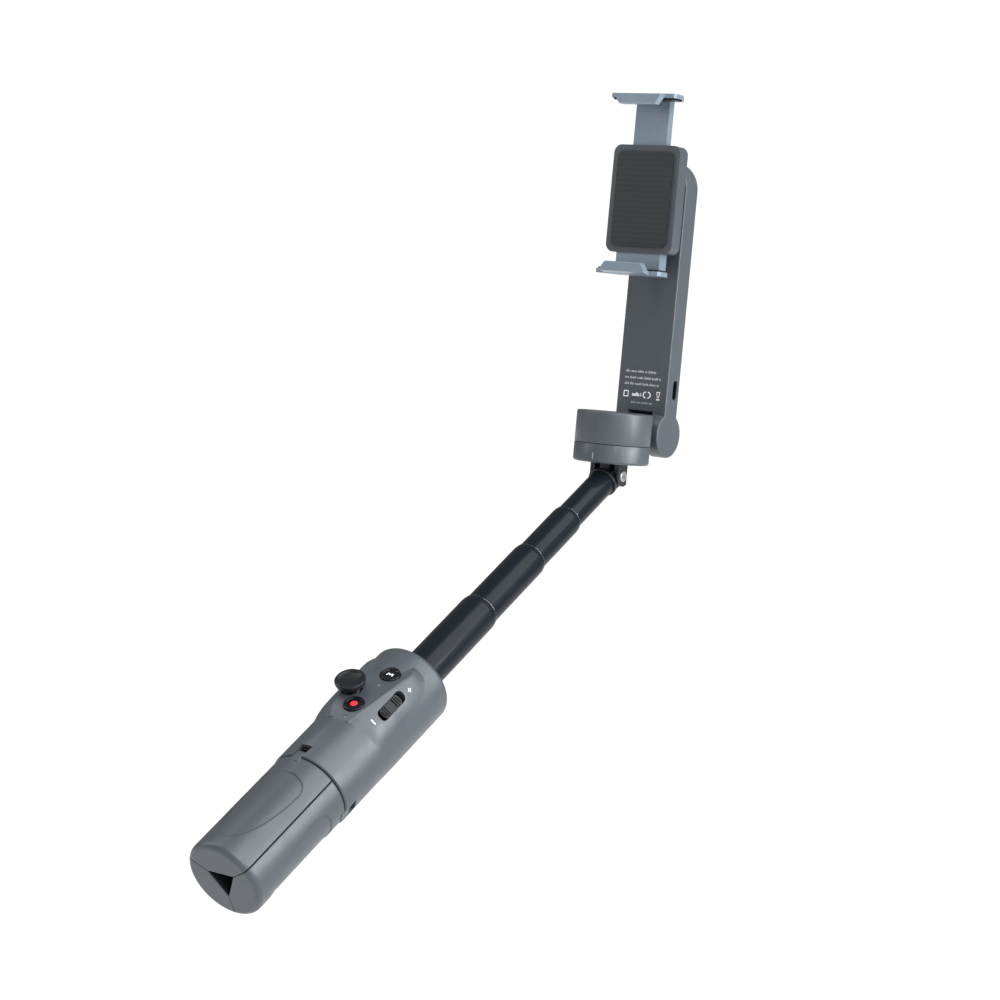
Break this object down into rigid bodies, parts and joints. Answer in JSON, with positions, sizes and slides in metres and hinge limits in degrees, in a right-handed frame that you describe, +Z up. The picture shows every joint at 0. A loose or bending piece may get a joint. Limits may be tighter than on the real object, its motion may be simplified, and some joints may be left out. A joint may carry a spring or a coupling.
{
  "type": "camera gimbal",
  "caption": "Folding motorised phone stabiliser with a spring jaw clamp, folding arm, telescopic pole and a control grip that opens into tripod legs.",
  "frame": {"origin": "on the grip's axis, at the middle of the plain round band between the control panel and the legs, where a hand or a clamp holds it", "axes": "+Z up through the pan motor's axis, +X along the held phone's long side to the user's right, +Y away from the user; the pole and grip lean 57.3 degrees from +Z towards -Y"},
  "size_m": [0.0364, 0.2949, 0.35],
  "materials": {
    "grey_plastic": "fine satin grain",
    "black_plastic": "moulded",
    "pole_black": "glossy black anodised",
    "jaw_metal": "blue-grey anodised, fine blasted",
    "hinge_metal": "dark anodised",
    "steel": "machined",
    "stator_iron": "laminated, wound",
    "magnet": "nickel plated",
    "board_green": "solder mask",
    "cell": "foil pouch",
    "black_rubber": "soft matt",
    "key_black": "satin black",
    "red": "printed",
    "light_white": "diffusing"
  },
  "bodies": {
    "grip": {"grip_shell": "grey_plastic", "guide_sleeve": "black_plastic", "leg_hub": "black_plastic", "leg_pins": "steel", "hub_screws": "steel", "control_board": "board_green", "joystick_module": "black_plastic", "button_switches": "black_plastic", "light_pipes": "light_white"},
    "stick_ring": {"joystick_ring": "key_black"},
    "stick": {"joystick_stem": "key_black", "joystick_cap": "black_rubber"},
    "mode_key": {"mode_button": "key_black"},
    "record_key": {"record_button": "key_black", "record_dot": "red"},
    "zoom_key": {"zoom_knob": "key_black"},
    "front_leg": {"leg_front": "grey_plastic"},
    "right_leg": {"leg_right": "grey_plastic"},
    "left_leg": {"leg_left": "grey_plastic"},
    "section_a": {"tube_a": "pole_black", "bush_a": "black_plastic"},
    "section_b": {"tube_b": "pole_black", "bush_b": "black_plastic"},
    "section_c": {"tube_c": "pole_black", "bush_c": "black_plastic"},
    "section_d": {"tube_d": "pole_black", "bush_d": "black_plastic", "tilt_fork": "hinge_metal"},
    "pan_stage": {"pan_base": "grey_plastic", "tilt_screw": "steel", "pan_board": "board_green", "pan_stator": "stator_iron", "pan_bearings": "steel"},
    "pan_rotor": {"pan_cup": "grey_plastic", "pan_magnets": "magnet", "pan_shaft": "steel"},
    "arm": {"arm_shell": "grey_plastic", "arm_cover": "grey_plastic", "cover_screws": "steel", "fold_pin": "steel", "main_board": "board_green", "charge_socket": "steel", "battery": "cell", "roll_stator": "stator_iron", "roll_bearings": "steel"},
    "clamp": {"roll_cup": "grey_plastic", "roll_magnets": "magnet", "roll_shaft": "steel", "clamp_body": "grey_plastic", "guide_rods": "steel", "back_pad": "black_rubber", "lower_jaw": "jaw_metal", "lower_pad": "black_rubber", "clamp_springs": "steel"},
    "top_jaw": {"upper_jaw": "jaw_metal", "upper_pad": "black_rubber"}
  },
  "joints": [
    {"name": "pole_slide_a", "type": "slide", "parent": "grip", "child": "section_a", "axis": [0, 0.8415, 0.5402], "range_m": [-0.05, 0]},
    {"name": "pole_slide_b", "type": "slide", "parent": "section_a", "child": "section_b", "axis": [0, 0.8415, 0.5402], "range_m": [-0.038, 0.016]},
    {"name": "pole_slide_c", "type": "slide", "parent": "section_b", "child": "section_c", "axis": [0, 0.8415, 0.5402], "range_m": [-0.03, 0.024]},
    {"name": "pole_slide_d", "type": "slide", "parent": "section_c", "child": "section_d", "axis": [0, 0.8415, 0.5402], "range_m": [-0.026, 0.026]},
    {"name": "tilt_hinge", "type": "hinge", "parent": "section_d", "child": "pan_stage", "pos_m": [0, 0.18682, 0.11993], "axis": [1, 0, 0], "range_deg": [-57.3, 14]},
    {"name": "pan_motor", "type": "hinge", "parent": "pan_stage", "child": "pan_rotor", "pos_m": [0, 0.18682, 0.13554], "axis": [0, 0, 1], "range_deg": [-120, 120]},
    {"name": "arm_fold", "type": "hinge", "parent": "pan_rotor", "child": "arm", "pos_m": [0, 0.21382, 0.13984], "axis": [1, 0, 0], "range_deg": [-180, 0]},
    {"name": "roll_motor", "type": "hinge", "parent": "arm", "child": "clamp", "pos_m": [0, 0.20681, 0.25469], "axis": [0, 1, 0], "range_deg": [-60, 60]},
    {"name": "jaw_slide", "type": "slide", "parent": "clamp", "child": "top_jaw", "axis": [0, 0, 1], "range_m": [-0.0194, 0.01], "stiffness_N_per_m": 150, "springref_m": -0.045, "deforming": ["clamp_springs"]},
    {"name": "stick_ring_hinge", "type": "hinge", "parent": "grip", "child": "stick_ring", "pos_m": [-0.00349, 0.01312, 0.02677], "axis": [0.9903, 0.0752, -0.1171], "range_deg": [-9, 9], "stiffness_Nm_per_rad": 0.01},
    {"name": "stick_hinge", "type": "hinge", "parent": "stick_ring", "child": "stick", "pos_m": [-0.00349, 0.01312, 0.02677], "axis": [0, 0.8415, 0.5402], "range_deg": [-9, 9], "stiffness_Nm_per_rad": 0.01},
    {"name": "mode_press", "type": "slide", "parent": "grip", "child": "mode_key", "axis": [-0.1381, 0.4258, -0.8942], "range_m": [0, 0.0006], "stiffness_N_per_m": 300},
    {"name": "record_press", "type": "slide", "parent": "grip", "child": "record_key", "axis": [-0.1392, 0.5216, -0.8418], "range_m": [0, 0.0006], "stiffness_N_per_m": 300},
    {"name": "zoom_slide", "type": "slide", "parent": "grip", "child": "zoom_key", "axis": [0, 0.8415, 0.5402], "range_m": [-0.0022, 0.0022], "stiffness_N_per_m": 200},
    {"name": "front_leg_hinge", "type": "hinge", "parent": "grip", "child": "front_leg", "pos_m": [0, -0.02118, 0.00541], "axis": [-1, 0, 0], "range_deg": [0, 60]},
    {"name": "right_leg_hinge", "type": "hinge", "parent": "grip", "child": "right_leg", "pos_m": [0.01386, -0.00822, -0.01478], "axis": [0.5, -0.4679, 0.7288], "range_deg": [0, 60]},
    {"name": "left_leg_hinge", "type": "hinge", "parent": "grip", "child": "left_leg", "pos_m": [-0.01386, -0.00822, -0.01478], "axis": [0.5, 0.4679, -0.7288], "range_deg": [0, 60]}
  ]
}
